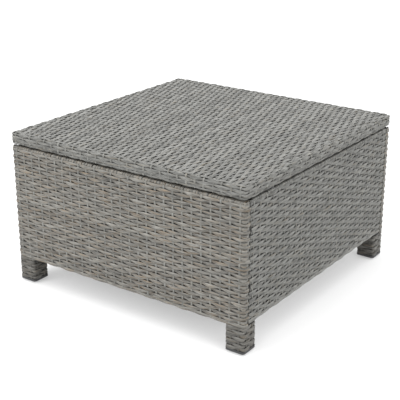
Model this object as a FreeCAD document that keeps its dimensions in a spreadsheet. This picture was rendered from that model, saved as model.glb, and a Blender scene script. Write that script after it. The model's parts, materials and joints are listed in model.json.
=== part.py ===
"""Square woven-resin coffee table on four short legs, in millimetres.

The table comes apart as it does on a bench: a front and a back panel that carry the legs, two side
panels bolted between them, and a top bolted down on spacers. Each panel is a frame of square steel
tube with a layer of woven strand over it. Every leg ends in a plastic cap with a levelling foot.

+X is right, +Y is back, +Z is up. The origin is on the floor, under the middle of the table.
"""

import FreeCAD
import Part
import Sketcher
import os

SIZES = (
    ("table_width", 710, "overall, along X"),
    ("table_depth", 710, "overall, along Y"),
    ("table_height", 410, "floor to the top of the table"),
    ("skin", 3.2, "layer of woven strand over a tube"),
    ("frame_tube", 13, "side of the square tube in the four panels"),
    ("rim_tube", 24, "side of the square tube round the top"),
    ("tube_wall", 1.2, "wall of every tube"),
    ("tube_corner", 2, "outer corner radius of every tube"),
    ("rim_skin", 3.5, "doubled strands round the edge of the top"),
    ("rim_nip", 3, "front and back rim tubes end this much short of the corners"),
    ("rim_corner", 6, "corner radius of the top, seen from above"),
    ("rim_arris", 5, "rounding of the top's upper edge"),
    ("rim_border", 13, "width of the border round the woven top sheet"),
    ("rim_gap", 4, "gap between the panels and the top"),
    ("cross_bars", 3, "bars under the top sheet"),
    ("panel_corner", 6.5, "rounding of the table's four upright corners"),
    ("side_corner", 3.5, "rounding of a side panel's upright ends"),
    ("side_gap", 1.5, "gap at each end of a side panel"),
    ("side_lift", 5, "gap between a side panel and the leg tops"),
    ("leg_side", 52, "side of a square leg over its strands"),
    ("leg_clear", 66, "cap underside to the lower edge of the front panel"),
    ("leg_plate", 3, "plate that closes a leg and carries the panel"),
    ("leg_wall", 1.5, "wall of a leg's steel core"),
    ("cap_lip", 6, "height of a leg cap below the strands"),
    ("plug_depth", 14, "height of a cap's plug inside the leg"),
    ("plug_gap", 0.3, "gap between a plug and the leg's core"),
    ("foot_show", 5, "height of a levelling foot below its cap"),
    ("foot_gap", 0.2, "gap over a foot that is screwed right in"),
    ("foot_radius", 16, "radius of a foot's pad"),
    ("foot_edge", 1.2, "chamfer round a foot's pad"),
    ("stud_radius", 4, "M8 stud of a foot"),
    ("stud_length", 26, "length of a foot's stud above its pad"),
    ("stud_gap", 0.04, "running clearance of a stud in its insert"),
    ("insert_radius", 6.5, "threaded insert in a leg cap"),
    ("bolt_radius", 3, "M6 bolts"),
    ("bolt_clear", 0.25, "clearance round a bolt in a hole or spacer"),
    ("thread_gap", 0.05, "clearance of a thread in its nut, and of a nut in its hole"),
    ("side_bolt_length", 30, "bolts through a side panel's end stiles"),
    ("top_bolt_length", 35, "bolts up through a side panel's top rail"),
    ("head_radius", 5.25, "button head"),
    ("head_height", 3.3, "button head"),
    ("head_edge", 1.6, "chamfer of a button head"),
    ("socket_radius", 2.3, "hexagon socket, to its corners"),
    ("socket_depth", 2, "hexagon socket"),
    ("washer_radius", 6, "M6 washer"),
    ("washer_thick", 1.6, "M6 washer"),
    ("nut_radius", 4.5, "body of a rivet nut"),
    ("nut_length", 10, "body of a rivet nut"),
    ("flange_radius", 6, "flange of a rivet nut"),
    ("flange_thick", 1, "flange of a rivet nut"),
    ("side_spacer_radius", 6, "sleeve between a side panel and a post"),
    ("top_spacer_radius", 7.5, "sleeve between a side panel and the top"),
    ("spacer_relief", 0.3, "gap round a sleeve where it passes a woven layer"),
    ("side_bolt_rise", 94, "lower side bolt above the leg tops"),
    ("side_bolt_drop", 69, "upper side bolt below the panels' upper edge"),
    ("top_bolt_inset", 115, "top bolt behind the front edge of the table"),
)

doc = FreeCAD.newDocument("CoffeeTable")
sheet = doc.addObject("Spreadsheet::Sheet", "dims")
for line, (alias, number, note) in enumerate(SIZES, 1):
    sheet.set(f"A{line}", note)
    sheet.set(f"B{line}", str(number))
    sheet.setAlias(f"B{line}", alias)
doc.recompute()

# Places that several pieces share, as expressions on the sheet.
HALF_X = "(dims.table_width / 2)"
HALF_Y = "(dims.table_depth / 2)"
PANEL = "(dims.frame_tube + 2 * dims.skin)"
TOP_LOW = "(dims.table_height - dims.rim_tube - 2 * dims.skin)"
BODY_TOP = f"({TOP_LOW} - dims.rim_gap)"
LEG_TOP = "(dims.foot_show + dims.leg_clear)"
SIDE_LOW = f"({LEG_TOP} + dims.side_lift)"
SIDE_END = f"({HALF_Y} - {PANEL} - dims.side_gap)"
RAIL_INSET = "(dims.skin + dims.frame_tube / 2)"
POST_X = f"({HALF_X} - {RAIL_INSET})"
POST_Y = f"({HALF_Y} - {RAIL_INSET})"
STILE_Y = f"({SIDE_END} - {RAIL_INSET})"
TUBE_TOP = f"({BODY_TOP} - dims.skin)"
LEG_CORE = "(dims.leg_side - 2 * dims.skin)"
LEG_X = f"({HALF_X} - dims.leg_side / 2)"
LEG_Y = f"({HALF_Y} - dims.leg_side / 2)"
STRAND_LOW = "(dims.foot_show + dims.cap_lip)"
RIM_IN = "(dims.rim_skin + dims.rim_tube)"
HOLE = "(dims.bolt_radius + dims.bolt_clear)"
NUT_HOLE = "(dims.nut_radius + dims.thread_gap)"
SIDE_BOLT_HEIGHTS = (f"({LEG_TOP} + dims.side_bolt_rise)", f"({BODY_TOP} - dims.side_bolt_drop)")
TOP_BOLT_Y = f"({HALF_Y} - dims.top_bolt_inset)"
SIDE_SPACER = "(2 * dims.skin + dims.side_gap - dims.flange_thick)"
TOP_SPACER = "(2 * dims.skin + dims.rim_gap - dims.flange_thick)"

CORNERS = {
    "front_left": (-1, -1),
    "front_right": (1, -1),
    "back_left": (-1, 1),
    "back_right": (1, 1),
}
TURNS = {
    "X": FreeCAD.Rotation(FreeCAD.Vector(0, 1, 0), 90),
    "Y": FreeCAD.Rotation(FreeCAD.Vector(1, 0, 0), -90),
    "-Y": FreeCAD.Rotation(FreeCAD.Vector(1, 0, 0), 90),
    "Z": FreeCAD.Rotation(),
}
HALF_TURN = FreeCAD.Rotation(FreeCAD.Vector(0, 0, 1), 180)

kept = []


def keep(feature, label):
    """Names a finished sub-part and puts it on the list of those to write."""
    feature.Label = label
    kept.append(feature)
    return feature


def value(expression):
    """The number that an expression on the sheet gives now."""
    return float(sheet.evalExpression(expression))


def place(feature, x="0", y="0", z="0", axis="Z"):
    """Turns a feature so that its own Z lies along an axis, and ties its place to the sheet."""
    feature.Placement = FreeCAD.Placement(FreeCAD.Vector(), TURNS[axis])
    feature.setExpression("Placement.Base.x", x)
    feature.setExpression("Placement.Base.y", y)
    feature.setExpression("Placement.Base.z", z)
    return feature


def sketch_on(body, name, role):
    """A sketch on one of the body's own origin planes."""
    sketch = body.newObject("Sketcher::SketchObject", name)
    plane = next(item for item in body.Origin.OriginFeatures if item.Role == role)
    sketch.AttachmentSupport = [(plane, "")]
    sketch.MapMode = "FlatFace"
    return sketch


def draw_outline(sketch, points):
    """A closed outline of straight lines, each corner tied to a pair of expressions."""
    first = sketch.GeometryCount
    places = [FreeCAD.Vector(value(u), value(v), 0) for u, v in points]
    for start, end in zip(places, places[1:] + places[:1]):
        sketch.addGeometry(Part.LineSegment(start, end), False)
    for index, corner in enumerate(points):
        line = first + index
        following = first + (index + 1) % len(points)
        sketch.addConstraint(Sketcher.Constraint("Coincident", line, 2, following, 1))
        for kind, own_axis, expression in zip(("DistanceX", "DistanceY"), (-2, -1), corner):
            if expression == "0":
                sketch.addConstraint(Sketcher.Constraint("PointOnObject", line, 1, own_axis))
                continue
            rule = Sketcher.Constraint(kind, -1, 1, line, 1, value(expression))
            number = sketch.addConstraint(rule)
            sketch.setExpression(f"Constraints[{number}]", expression)


def rectangle(width, depth):
    """The corners of a rectangle about the origin."""
    u = f"{width} / 2"
    v = f"{depth} / 2"
    return [(f"-({u})", f"-({v})"), (u, f"-({v})"), (u, v), (f"-({u})", v)]


def pad(body, sketch, length):
    """Pads a sketch of the body by a length from the sheet."""
    feature = body.newObject("PartDesign::Pad", f"{sketch.Name}Pad")
    feature.Profile = sketch
    feature.setExpression("Length", length)
    doc.recompute()
    return feature


def pocket(body, sketch, length, upward=True):
    """Cuts a sketch into the body, along the sketch's own normal or against it."""
    feature = body.newObject("PartDesign::Pocket", f"{sketch.Name}Pocket")
    feature.Profile = sketch
    feature.Reversed = upward
    before = body.Shape.Volume
    feature.setExpression("Length", length)
    doc.recompute()
    if not feature.Shape.Volume < before:
        raise RuntimeError(f"{feature.Name} cuts nothing")
    return feature


def round_edges(body, base, radius, chosen):
    """Rounds the edges of a body for which chosen(edge) is true."""
    names = [f"Edge{n}" for n, edge in enumerate(base.Shape.Edges, 1) if chosen(edge)]
    feature = body.newObject("PartDesign::Fillet", f"{base.Name}Rounded")
    feature.Base = (base, names)
    feature.setExpression("Radius", radius)
    doc.recompute()
    return feature


def is_upright(edge):
    """True for a straight edge along Z."""
    low, high = edge.BoundBox.ZMin, edge.BoundBox.ZMax
    return high - low > edge.Length - 1e-6


def outermost_uprights(base):
    """A test for the upright edges at the corners of the feature's own box."""
    box = base.Shape.BoundBox

    def chosen(edge):
        middle = edge.CenterOfMass
        on_x = min(abs(middle.x - box.XMin), abs(middle.x - box.XMax)) < 1e-6
        on_y = min(abs(middle.y - box.YMin), abs(middle.y - box.YMax)) < 1e-6
        return is_upright(edge) and on_x and on_y

    return chosen


def tube(name, side, length, axis, x, y, z):
    """A square tube. Its axis starts at x, y, z and runs along the named direction."""
    body = doc.addObject("PartDesign::Body", name)
    section = sketch_on(body, f"{name}_section", "XY_Plane")
    draw_outline(section, rectangle(side, side))
    bore = f"({side} - 2 * dims.tube_wall)"
    draw_outline(section, rectangle(bore, bore))
    solid = pad(body, section, length)
    round_edges(body, solid, "dims.tube_corner", outermost_uprights(solid))
    return place(body, x, y, z, axis)


def block(name, width, depth, height, x="0", y="0", z="0"):
    """A plain box about x and y, standing on z."""
    box = doc.addObject("Part::Box", name)
    box.setExpression("Length", width)
    box.setExpression("Width", depth)
    box.setExpression("Height", height)
    return place(box, f"{x} - ({width}) / 2", f"{y} - ({depth}) / 2", z)


def drill(name, radius, length, axis, x, y, z):
    """A cylinder to cut a round hole with, starting at x, y, z."""
    cylinder = doc.addObject("Part::Cylinder", name)
    cylinder.setExpression("Radius", radius)
    cylinder.setExpression("Height", length)
    return place(cylinder, x, y, z, axis)


def cut(name, base, tools):
    """The base with all the tools taken away from it."""
    together = doc.addObject("Part::Compound", f"{name}_cutters")
    together.Links = tools
    result = doc.addObject("Part::Cut", name)
    result.Base = base
    result.Tool = together
    return result


def fuse(name, base, addition):
    """Two solids as one."""
    result = doc.addObject("Part::Fuse", name)
    result.Base = base
    result.Tool = addition
    return result


def rounded_block(name, width, depth, height, radius, x, y, z, chosen=None):
    """A box about x and y, standing on z, with upright edges rounded where chosen(x, y) is true."""
    body = doc.addObject("PartDesign::Body", name)
    outline = sketch_on(body, f"{name}_outline", "XY_Plane")
    draw_outline(outline, rectangle(width, depth))
    solid = pad(body, outline, height)

    def picked(edge):
        middle = edge.CenterOfMass
        return is_upright(edge) and (chosen is None or chosen(middle.x, middle.y))

    round_edges(body, solid, radius, picked)
    return place(body, x, y, z)


def turned_round(feature):
    """Half a turn about the table's upright axis, for the matching piece on the other side."""
    feature.Placement = FreeCAD.Placement(FreeCAD.Vector(), HALF_TURN)
    return feature


# ---- Front and back panels -------------------------------------------------------------------

def panel_frame(end, sign):
    """Posts, rails and middle stile of the front (-1) or back (+1) panel."""
    y = f"{sign} * {POST_Y}"
    post_length = f"({TUBE_TOP} - {LEG_TOP})"
    for side, turn in (("left", -1), ("right", 1)):
        x = f"{turn} * {POST_X}"
        post = tube(f"{end}_{side}_post_tube", "dims.frame_tube", post_length, "Z", x, y, LEG_TOP)
        wall_holes = [
            drill(f"{end}_{side}_nut_hole_{n}", NUT_HOLE, "dims.frame_tube", "Y" if sign < 0 else "-Y",
                  x, y, height)
            for n, height in enumerate(SIDE_BOLT_HEIGHTS)
        ]
        keep(cut(f"{end}_{side}_post_drilled", post, wall_holes), f"{end}_{side}_post")
    rail_length = f"(2 * {POST_X} - dims.frame_tube)"
    rail_start = f"-{POST_X} + dims.frame_tube / 2"
    low = f"{LEG_TOP} + {RAIL_INSET}"
    high = f"{TUBE_TOP} - dims.frame_tube / 2"
    for level, z in (("top", high), ("bottom", low)):
        rail = tube(f"{end}_{level}_rail_tube", "dims.frame_tube", rail_length, "X", rail_start, y, z)
        keep(rail, f"{end}_{level}_rail")
    stile_low = f"{LEG_TOP} + dims.skin + dims.frame_tube"
    stile_length = f"({TUBE_TOP} - 2 * dims.frame_tube - {LEG_TOP} - dims.skin)"
    keep(tube(f"{end}_stile_tube", "dims.frame_tube", stile_length, "Z", "0", y, stile_low), f"{end}_stile")


def panel_weave(end, turn_round):
    """Woven layer of the front panel: outer face, both ends, and a wrap round its frame."""
    y = f"-({HALF_Y} - {PANEL} / 2)"
    height = f"({BODY_TOP} - {LEG_TOP})"
    outside = rounded_block(f"{end}_weave_block", "dims.table_width", PANEL, height, "dims.panel_corner",
                            "0", y, LEG_TOP, lambda x, y: y < 0)
    tube_run = "(dims.table_width - 2 * dims.skin)"
    inside = rounded_block(f"{end}_weave_inside", tube_run, "dims.frame_tube", f"({TUBE_TOP} - {LEG_TOP})",
                           "dims.tube_corner", "0", y, LEG_TOP, lambda x, y: y < 0)
    window = block(f"{end}_weave_window", f"dims.table_width - 2 * {PANEL}", PANEL,
                   f"{BODY_TOP} - {LEG_TOP} - 2 * {PANEL}", y=f"-({HALF_Y} - {PANEL})",
                   z=f"{LEG_TOP} + {PANEL}")
    reliefs = [
        drill(f"{end}_weave_relief_{side}_{n}", "dims.side_spacer_radius + dims.spacer_relief", PANEL, "Y",
              f"{turn} * {POST_X}", f"-{POST_Y}", z)
        for side, turn in (("left", -1), ("right", 1))
        for n, z in enumerate(SIDE_BOLT_HEIGHTS)
    ]
    shell = cut(f"{end}_weave_shell", outside, [inside, window] + reliefs)
    under = block(f"{end}_weave_under", "dims.table_width - 2 * dims.leg_side", "dims.frame_tube",
                  "dims.skin", y=y, z=LEG_TOP)
    weave = keep(fuse(f"{end}_weave_whole", shell, under), f"{end}_weave")
    if turn_round:
        turned_round(weave)


# ---- Side panels -----------------------------------------------------------------------------

def side_frame(side, sign):
    """End stiles, rails and middle stile of the left (-1) or right (+1) panel."""
    x = f"{sign} * {POST_X}"
    stile_low = f"{SIDE_LOW} + dims.skin"
    stile_length = f"({TUBE_TOP} - {SIDE_LOW} - dims.skin)"
    for end, turn in (("front", -1), ("back", 1)):
        y = f"{turn} * {STILE_Y}"
        stile = tube(f"{side}_{end}_stile_tube", "dims.frame_tube", stile_length, "Z", x, y, stile_low)
        holes = [
            drill(f"{side}_{end}_bolt_hole_{n}", HOLE, "2 * dims.frame_tube", "Y",
                  x, f"{y} - dims.frame_tube", z)
            for n, z in enumerate(SIDE_BOLT_HEIGHTS)
        ]
        keep(cut(f"{side}_{end}_stile_drilled", stile, holes), f"{side}_{end}_stile")
    rail_start = f"-{STILE_Y} + dims.frame_tube / 2"
    rail_length = f"(2 * {STILE_Y} - dims.frame_tube)"
    high = f"{TUBE_TOP} - dims.frame_tube / 2"
    top_rail = tube(f"{side}_top_rail_tube", "dims.frame_tube", rail_length, "Y", x, rail_start, high)
    holes = [
        drill(f"{side}_top_hole_{n}", HOLE, "2 * dims.frame_tube", "Z",
              x, f"{turn} * {TOP_BOLT_Y}", f"{high} - dims.frame_tube")
        for n, turn in enumerate((-1, 1))
    ]
    keep(cut(f"{side}_top_rail_drilled", top_rail, holes), f"{side}_top_rail")
    low = f"{SIDE_LOW} + {RAIL_INSET}"
    bottom_rail = tube(f"{side}_bottom_rail_tube", "dims.frame_tube", rail_length, "Y", x, rail_start, low)
    keep(bottom_rail, f"{side}_bottom_rail")
    middle_low = f"{SIDE_LOW} + dims.skin + dims.frame_tube"
    middle_length = f"({TUBE_TOP} - 2 * dims.frame_tube - {SIDE_LOW} - dims.skin)"
    middle = tube(f"{side}_middle_tube", "dims.frame_tube", middle_length, "Z", x, "0", middle_low)
    keep(middle, f"{side}_middle_stile")


def side_weave(side, turn_round):
    """Woven layer of the right panel: outer face, ends, top and underside, and a wrap behind."""
    x = f"({HALF_X} - {PANEL} / 2)"
    height = f"({BODY_TOP} - {SIDE_LOW})"
    outside = rounded_block(f"{side}_weave_block", PANEL, f"(2 * {SIDE_END})", height, "dims.side_corner",
                            x, "0", SIDE_LOW, lambda x, y: x > 0)
    inside = block(f"{side}_weave_inside", "dims.frame_tube", f"2 * {SIDE_END} - 2 * dims.skin",
                   f"{height} - 2 * dims.skin", x=x, z=f"{SIDE_LOW} + dims.skin")
    window = block(f"{side}_weave_window", PANEL, f"2 * {SIDE_END} - 2 * {PANEL}",
                   f"{height} - 2 * {PANEL}", x=f"({HALF_X} - {PANEL})", z=f"{SIDE_LOW} + {PANEL}")
    end_reliefs = [
        drill(f"{side}_weave_relief_{end}_{n}", "dims.side_spacer_radius + dims.spacer_relief",
              "dims.frame_tube", axis, POST_X, f"{turn} * {STILE_Y}", z)
        for end, turn, axis in (("front", -1, "-Y"), ("back", 1, "Y"))
        for n, z in enumerate(SIDE_BOLT_HEIGHTS)
    ]
    top_reliefs = [
        drill(f"{side}_weave_top_relief_{n}", "dims.top_spacer_radius + dims.spacer_relief", PANEL, "Z",
              POST_X, f"{turn} * {TOP_BOLT_Y}", f"{TUBE_TOP} - dims.frame_tube / 2")
        for n, turn in enumerate((-1, 1))
    ]
    weave = cut(f"{side}_weave_whole", outside, [inside, window] + end_reliefs + top_reliefs)
    keep(weave, f"{side}_weave")
    if turn_round:
        turned_round(weave)


# ---- Top -------------------------------------------------------------------------------------

def top_frame():
    """Four rim tubes, butted at the corners, and the bars that carry the woven sheet."""
    rim_z = f"{TOP_LOW} + dims.skin + dims.rim_tube / 2"
    long_start = f"-{HALF_X} + dims.rim_skin + dims.rim_nip"
    long_length = "(dims.table_width - 2 * dims.rim_skin - 2 * dims.rim_nip)"
    for end, sign in (("front", -1), ("back", 1)):
        y = f"{sign} * ({HALF_Y} - dims.rim_skin - dims.rim_tube / 2)"
        rim = tube(f"top_{end}_rim", "dims.rim_tube", long_length, "X", long_start, y, rim_z)
        keep(rim, f"top_{end}_tube")
    short_start = f"-{HALF_Y} + {RIM_IN}"
    short_length = f"(dims.table_depth - 2 * {RIM_IN})"
    for side, sign in (("left", -1), ("right", 1)):
        x = f"{sign} * ({HALF_X} - dims.rim_skin - dims.rim_tube / 2)"
        rim = tube(f"top_{side}_rim", "dims.rim_tube", short_length, "Y", x, short_start, rim_z)
        holes = [
            drill(f"top_{side}_nut_hole_{n}", NUT_HOLE, "dims.rim_tube", "Z",
                  f"{sign} * {POST_X}", f"{turn} * {TOP_BOLT_Y}",
                  f"{TOP_LOW} + dims.skin - dims.rim_tube / 2")
            for n, turn in enumerate((-1, 1))
        ]
        keep(cut(f"top_{side}_rim_drilled", rim, holes), f"top_{side}_tube")
    bar_start = f"-{HALF_X} + {RIM_IN}"
    bar_length = f"(dims.table_width - 2 * {RIM_IN})"
    bar_z = "dims.table_height - dims.skin - dims.frame_tube / 2"
    count = round(value("dims.cross_bars"))
    for number in range(1, count + 1):
        y = f"-{HALF_Y} + dims.table_depth * {number} / (dims.cross_bars + 1)"
        bar = tube(f"bar_{number}", "dims.frame_tube", bar_length, "X", bar_start, y, bar_z)
        keep(bar, f"top_cross_bar_{number}")


def top_weave():
    """The woven sheet, and the rim of strands that wraps the tubes round it."""
    sheet_x = "dims.table_width - 2 * dims.rim_border"
    sheet_y = "dims.table_depth - 2 * dims.rim_border"
    sheet_low = "dims.table_height - dims.skin"
    keep(block("top_sheet", sheet_x, sheet_y, "dims.skin", z=sheet_low), "top_weave")

    body = doc.addObject("PartDesign::Body", "rim_block")
    outline = sketch_on(body, "rim_outline", "XY_Plane")
    draw_outline(outline, rectangle("dims.table_width", "dims.table_depth"))
    height = "(dims.rim_tube + 2 * dims.skin)"
    solid = pad(body, outline, height)
    upright = round_edges(body, solid, "dims.rim_corner", is_upright)
    top = value(height)
    round_edges(body, upright, "dims.rim_arris", lambda edge: edge.BoundBox.ZMin > top - 1e-6)
    place(body, z=TOP_LOW)

    tubes = block("rim_tubes", "dims.table_width - 2 * dims.rim_skin",
                  f"dims.table_depth - 2 * {RIM_IN}", "dims.rim_tube", z=f"{TOP_LOW} + dims.skin")
    long_tubes = block("rim_long_tubes", "dims.table_width - 2 * dims.rim_skin - 2 * dims.rim_nip",
                       "dims.table_depth - 2 * dims.rim_skin", "dims.rim_tube", z=f"{TOP_LOW} + dims.skin")
    opening = block("rim_opening", f"dims.table_width - 2 * {RIM_IN}", f"dims.table_depth - 2 * {RIM_IN}",
                    "2 * dims.skin", z=f"{TOP_LOW} - dims.skin")
    recess = block("rim_recess", sheet_x, sheet_y, "2 * dims.skin", z=sheet_low)
    reliefs = [
        drill(f"rim_relief_{n}", "dims.top_spacer_radius + dims.spacer_relief", "2 * dims.skin", "Z",
              f"{sign} * {POST_X}", f"{turn} * {TOP_BOLT_Y}", f"{TOP_LOW} - dims.skin")
        for n, (sign, turn) in enumerate(CORNERS.values())
    ]
    keep(cut("rim_whole", body, [tubes, long_tubes, opening, recess] + reliefs), "top_rim_weave")


# ---- Legs ------------------------------------------------------------------------------------

def leg_core(corner, sign_x, sign_y):
    """Steel box tube of a leg, closed on top by the plate that the panel's post stands on."""
    name = f"leg_core_{corner}"
    body = doc.addObject("PartDesign::Body", f"{name}_body")
    outline = sketch_on(body, f"{name}_outline", "XY_Plane")
    draw_outline(outline, rectangle(LEG_CORE, LEG_CORE))
    height = f"({LEG_TOP} - {STRAND_LOW})"
    solid = pad(body, outline, height)
    round_edges(body, solid, "dims.tube_corner", is_upright)
    bore = f"({LEG_CORE} - 2 * dims.leg_wall)"
    hollow = sketch_on(body, f"{name}_hollow", "XY_Plane")
    draw_outline(hollow, rectangle(bore, bore))
    pocket(body, hollow, f"{height} - dims.leg_plate")
    keep(place(body, f"{sign_x} * {LEG_X}", f"{sign_y} * {LEG_Y}", STRAND_LOW), name)


def leg_weave(corner, sign_x, sign_y):
    """Woven sleeve round a leg, from its cap to the panel above."""
    name = f"leg_weave_{corner}"
    x = f"{sign_x} * {LEG_X}"
    y = f"{sign_y} * {LEG_Y}"
    height = f"({LEG_TOP} - {STRAND_LOW})"
    outside = rounded_block(f"{name}_block", "dims.leg_side", "dims.leg_side", height, "dims.panel_corner",
                            x, y, STRAND_LOW)
    inside = rounded_block(f"{name}_inside", LEG_CORE, LEG_CORE, height, "dims.tube_corner",
                           x, y, STRAND_LOW)
    keep(cut(f"{name}_sleeve", outside, [inside]), name)


def leg_cap(corner, sign_x, sign_y):
    """Plastic end cap: a lip under the strands, a plug inside the core, a hole for the insert."""
    name = f"leg_cap_{corner}"
    body = doc.addObject("PartDesign::Body", f"{name}_body")
    lip = sketch_on(body, f"{name}_lip", "XY_Plane")
    draw_outline(lip, rectangle("dims.leg_side", "dims.leg_side"))
    lip_solid = pad(body, lip, "dims.cap_lip")
    round_edges(body, lip_solid, "dims.panel_corner", is_upright)
    plug_side = f"({LEG_CORE} - 2 * dims.leg_wall - 2 * dims.plug_gap)"
    plug = sketch_on(body, f"{name}_plug", "XY_Plane")
    draw_outline(plug, rectangle(plug_side, plug_side))
    pad(body, plug, "dims.cap_lip + dims.plug_depth")
    place(body, f"{sign_x} * {LEG_X}", f"{sign_y} * {LEG_Y}", "dims.foot_show")
    bore = drill(f"{name}_bore", "dims.insert_radius", "dims.cap_lip + dims.plug_depth", "Z",
                 f"{sign_x} * {LEG_X}", f"{sign_y} * {LEG_Y}", "dims.foot_show")
    keep(cut(f"{name}_bored", body, [bore]), name)


# ---- Turned pieces and fasteners -------------------------------------------------------------

def turning(name, points):
    """A solid of revolution about its own Z axis, from an outline in radius and height."""
    body = doc.addObject("PartDesign::Body", name)
    outline = sketch_on(body, f"{name}_outline", "XZ_Plane")
    draw_outline(outline, points)
    solid = body.newObject("PartDesign::Revolution", f"{name}_turned")
    solid.Profile = outline
    solid.ReferenceAxis = (outline, ["V_Axis"])
    solid.Angle = 360
    doc.recompute()
    return body


def ring(name, bore, outer, height):
    """A plain sleeve or washer about its own Z axis."""
    return turning(name, [(bore, "0"), (outer, "0"), (outer, height), (bore, height)])


def bolt(name, length):
    """Button-head bolt with a hexagon socket. The underside of the head is at its own zero."""
    body = turning(name, [
        ("0", "-dims.head_height"),
        ("dims.head_radius - dims.head_edge", "-dims.head_height"),
        ("dims.head_radius", "-dims.head_height + dims.head_edge"),
        ("dims.head_radius", "0"),
        ("dims.bolt_radius", "0"),
        ("dims.bolt_radius", length),
        ("0", length),
    ])
    corner = "dims.socket_radius"
    flat = "dims.socket_radius * sqrt(3) / 2"
    socket = sketch_on(body, f"{name}_socket", "XY_Plane")
    socket.setExpression("AttachmentOffset.Base.z", "-dims.head_height")
    draw_outline(socket, [
        (corner, "0"), (f"{corner} / 2", flat), (f"-{corner} / 2", flat),
        (f"-{corner}", "0"), (f"-{corner} / 2", f"-{flat}"), (f"{corner} / 2", f"-{flat}"),
    ])
    pocket(body, socket, "dims.socket_depth")
    return body


def rivet_nut(name):
    """Rivet nut: a flange below its own zero and a body above it."""
    bore = "dims.bolt_radius + dims.thread_gap"
    return turning(name, [
        (bore, "-dims.flange_thick"),
        ("dims.flange_radius", "-dims.flange_thick"),
        ("dims.flange_radius", "0"),
        ("dims.nut_radius", "0"),
        ("dims.nut_radius", "dims.nut_length"),
        (bore, "dims.nut_length"),
    ])


def group(label, pattern, places):
    """The same fastener at each place (axis, x, y, z), as one set of separate solids."""
    copies = []
    for number, (axis, x, y, z) in enumerate(places):
        copy = doc.addObject("App::Link", f"{label}_copy_{number}")
        copy.LinkedObject = pattern
        copy.LinkTransform = False
        copy.LinkPlacement = FreeCAD.Placement(FreeCAD.Vector(), TURNS[axis])
        copy.setExpression("LinkPlacement.Base.x", x)
        copy.setExpression("LinkPlacement.Base.y", y)
        copy.setExpression("LinkPlacement.Base.z", z)
        copies.append(copy)
    together = doc.addObject("Part::Compound", f"{label}_set")
    together.Links = copies
    keep(together, label)


def side_places(distance):
    """Eight places on the side bolts' axes, each at a distance from the table's middle along Y."""
    return [
        ("Y" if sign_y > 0 else "-Y", f"{sign_x} * {POST_X}", f"{sign_y} * ({distance})", z)
        for sign_x, sign_y in CORNERS.values()
        for z in SIDE_BOLT_HEIGHTS
    ]


def top_places(height):
    """Four places on the top bolts' axes, at a height."""
    return [
        ("Z", f"{sign_x} * {POST_X}", f"{sign_y} * {TOP_BOLT_Y}", height)
        for sign_x, sign_y in CORNERS.values()
    ]


def fasteners():
    """Bolts, washers, spacers and rivet nuts that hold the panels and the top together."""
    bolt_bore = "dims.bolt_radius + dims.bolt_clear"
    stile_in = f"{STILE_Y} - dims.frame_tube / 2"
    stile_out = f"{STILE_Y} + dims.frame_tube / 2"
    post_in = f"{POST_Y} - dims.frame_tube / 2"
    rail_low = f"{TUBE_TOP} - dims.frame_tube"
    rim_low = f"{TOP_LOW} + dims.skin"
    washer = ring("washer", bolt_bore, "dims.washer_radius", "dims.washer_thick")
    nut = rivet_nut("rivet_nut")
    side_bolt = bolt("side_bolt", "dims.side_bolt_length")
    top_bolt = bolt("top_bolt", "dims.top_bolt_length")
    side_spacer = ring("side_spacer", bolt_bore, "dims.side_spacer_radius", SIDE_SPACER)
    top_spacer = ring("top_spacer", bolt_bore, "dims.top_spacer_radius", TOP_SPACER)
    group("side_bolts", side_bolt, side_places(f"{stile_in} - dims.washer_thick"))
    group("side_washers", washer, side_places(f"{stile_in} - dims.washer_thick"))
    group("side_spacers", side_spacer, side_places(stile_out))
    group("side_rivet_nuts", nut, side_places(post_in))
    group("top_bolts", top_bolt, top_places(f"{rail_low} - dims.washer_thick"))
    group("top_washers", washer, top_places(f"{rail_low} - dims.washer_thick"))
    group("top_spacers", top_spacer, top_places(TUBE_TOP))
    group("top_rivet_nuts", nut, top_places(rim_low))


def foot_hardware():
    """Threaded inserts in the four caps, and the levelling feet that turn in them."""
    insert = ring("foot_insert", "dims.stud_radius + dims.stud_gap", "dims.insert_radius",
                  "dims.cap_lip + dims.plug_depth")
    places = [
        ("Z", f"{sign_x} * {LEG_X}", f"{sign_y} * {LEG_Y}", "dims.foot_show")
        for sign_x, sign_y in CORNERS.values()
    ]
    group("foot_inserts", insert, places)
    pad_top = "dims.foot_show - dims.foot_gap"
    outline = [
        ("0", "0"),
        ("dims.foot_radius - dims.foot_edge", "0"),
        ("dims.foot_radius", "dims.foot_edge"),
        ("dims.foot_radius", f"{pad_top} - dims.foot_edge"),
        ("dims.foot_radius - dims.foot_edge", pad_top),
        ("dims.stud_radius", pad_top),
        ("dims.stud_radius", f"{pad_top} + dims.stud_length"),
        ("0", f"{pad_top} + dims.stud_length"),
    ]
    for corner, (sign_x, sign_y) in CORNERS.items():
        foot = turning(f"foot_{corner}", outline)
        keep(place(foot, f"{sign_x} * {LEG_X}", f"{sign_y} * {LEG_Y}"), f"levelling_foot_{corner}")


def write_parts():
    """Stops on any failed object, then writes one file for each sub-part."""
    doc.recompute()
    for item in doc.Objects:
        if "Invalid" in item.State or "Error" in item.State:
            raise RuntimeError(f"{item.Name} failed: {item.State}")
    for item in kept:
        if item.Shape.isNull() or not item.Shape.isValid() or not item.Shape.Solids:
            raise RuntimeError(f"{item.Label} has no valid solid")
    os.makedirs("parts", exist_ok=True)
    for item in kept:
        item.Shape.exportStep(f"parts/{item.Label}.step")


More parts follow.
